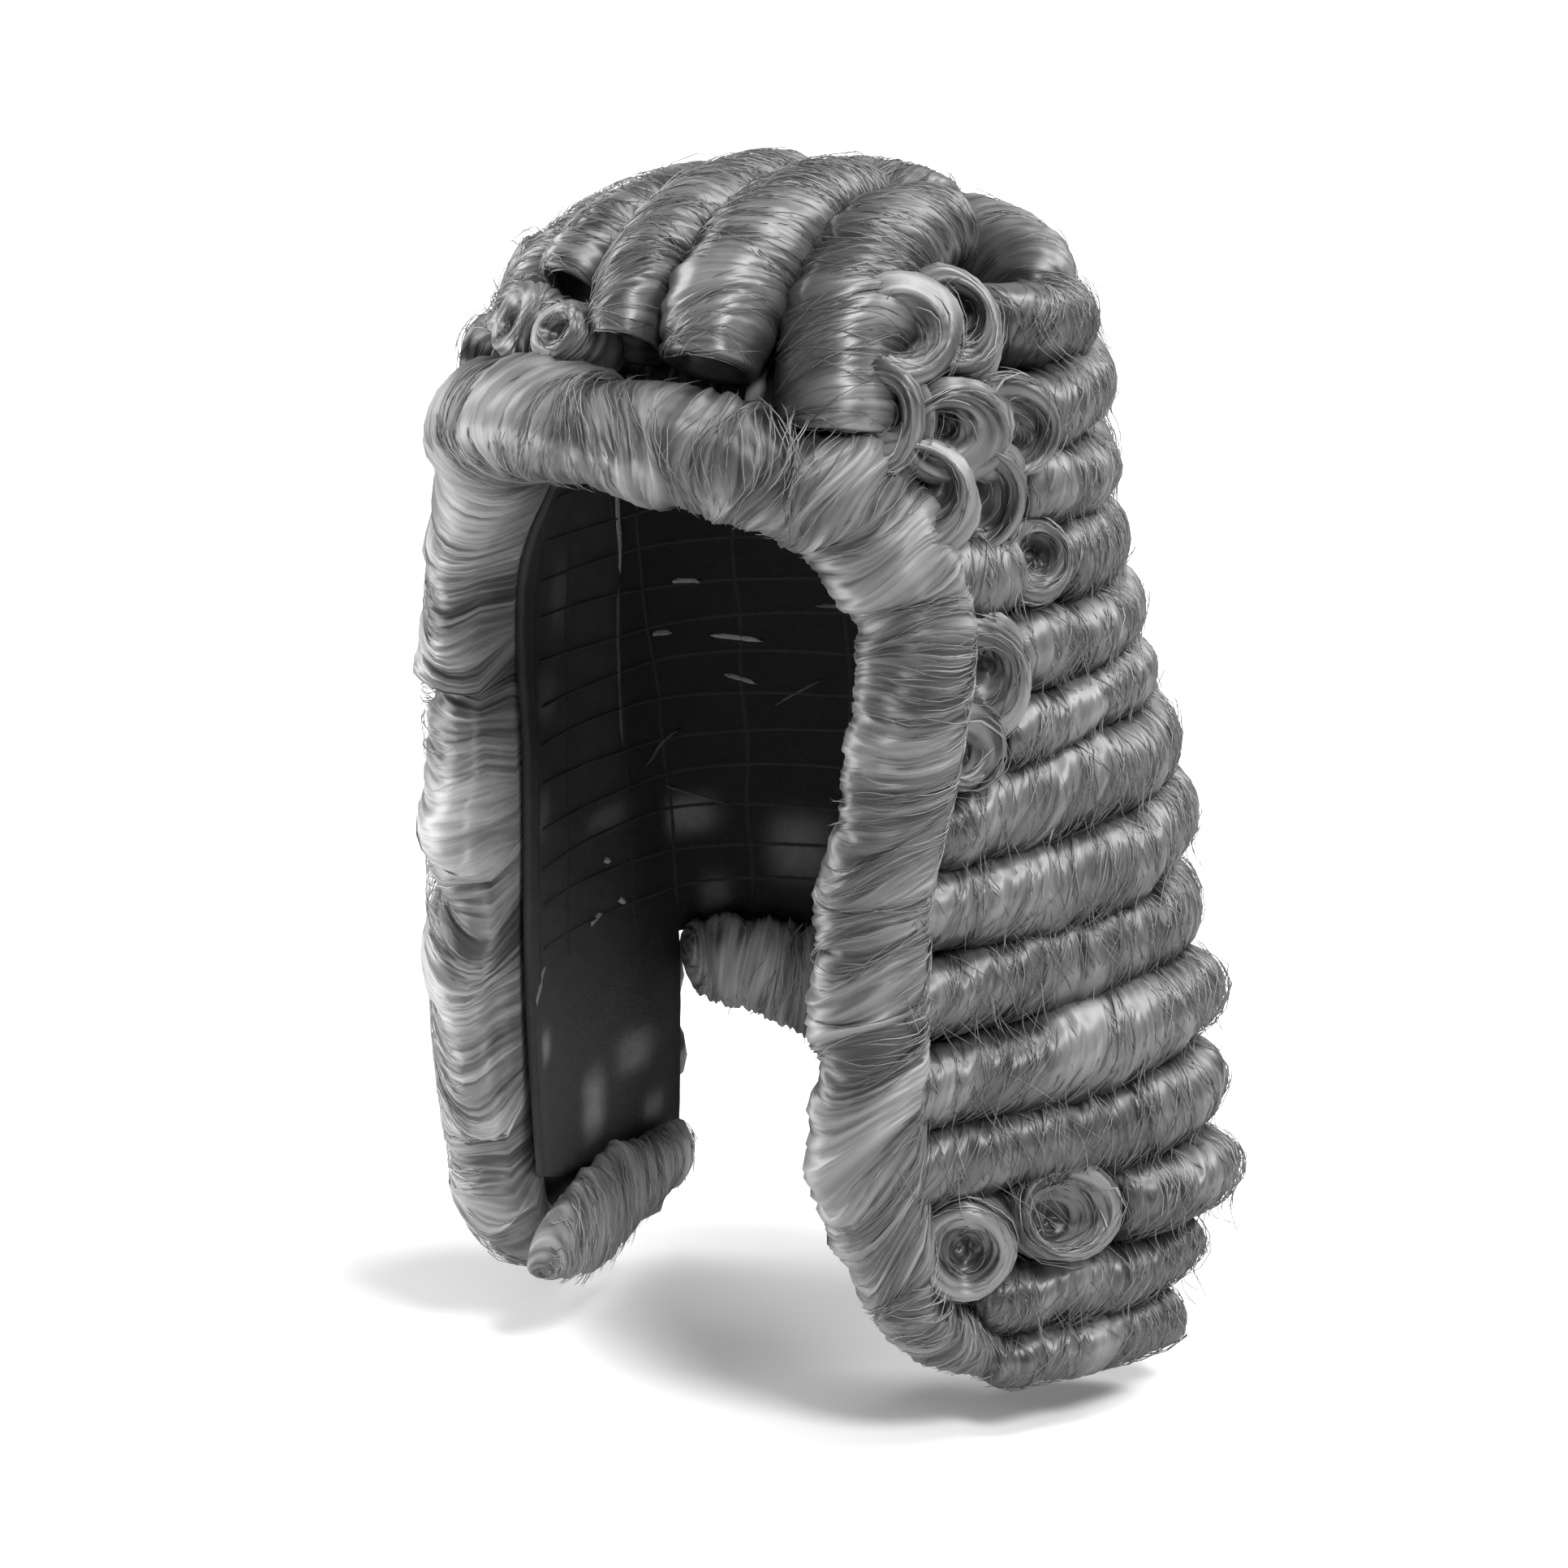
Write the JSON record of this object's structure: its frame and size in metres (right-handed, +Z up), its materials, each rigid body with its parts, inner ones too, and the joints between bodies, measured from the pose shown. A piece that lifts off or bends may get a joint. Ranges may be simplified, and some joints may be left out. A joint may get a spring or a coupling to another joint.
{
  "type": "full-bottomed wig",
  "caption": "Full-bottomed dress wig: black cloth foundation with long lappets, brushed border round the face, crown rolls and rows of grey curls.",
  "frame": {"origin": "the inside of the foundation at the top of the head, where the wig rests on its wearer", "axes": "+Z up along the wearer's height, -Y the way the wearer faces, +X to the wearer's left"},
  "size_m": [0.3372, 0.2964, 0.4823],
  "materials": {
    "cloth": "matt black woven cloth",
    "hair": "grey curled hair with a soft sheen"
  },
  "bodies": {
    "root": {"back_row_1": "hair", "back_row_2": "hair", "back_row_3": "hair", "back_row_4": "hair", "back_row_5": "hair", "back_row_6": "hair", "back_row_7": "hair", "back_row_8": "hair", "back_row_9": "hair", "crown_roll_1": "hair", "crown_roll_2": "hair", "crown_roll_3": "hair", "crown_roll_4": "hair", "crown_roll_5": "hair", "foundation": "cloth", "front_border": "hair", "front_curl_1": "hair", "front_curl_2": "hair", "left_lappet_hem": "hair", "left_lappet_row_1": "hair", "left_lappet_row_2": "hair", "left_lappet_row_3": "hair", "left_lappet_row_4": "hair", "left_lappet_row_5": "hair", "left_lappet_row_6": "hair", "left_lappet_row_7": "hair", "left_side_row_1": "hair", "left_side_row_2": "hair", "left_side_row_3": "hair", "left_side_row_4": "hair", "left_side_row_5": "hair", "left_side_row_6": "hair", "left_side_row_7": "hair", "nape_hem": "hair", "right_lappet_hem": "hair", "right_lappet_row_1": "hair", "right_lappet_row_2": "hair", "right_lappet_row_3": "hair", "right_lappet_row_4": "hair", "right_lappet_row_5": "hair", "right_lappet_row_6": "hair", "right_lappet_row_7": "hair", "right_side_row_1": "hair", "right_side_row_2": "hair", "right_side_row_3": "hair", "right_side_row_4": "hair", "right_side_row_5": "hair", "right_side_row_6": "hair", "right_side_row_7": "hair", "top_curl": "hair"}
  },
  "joints": []
}
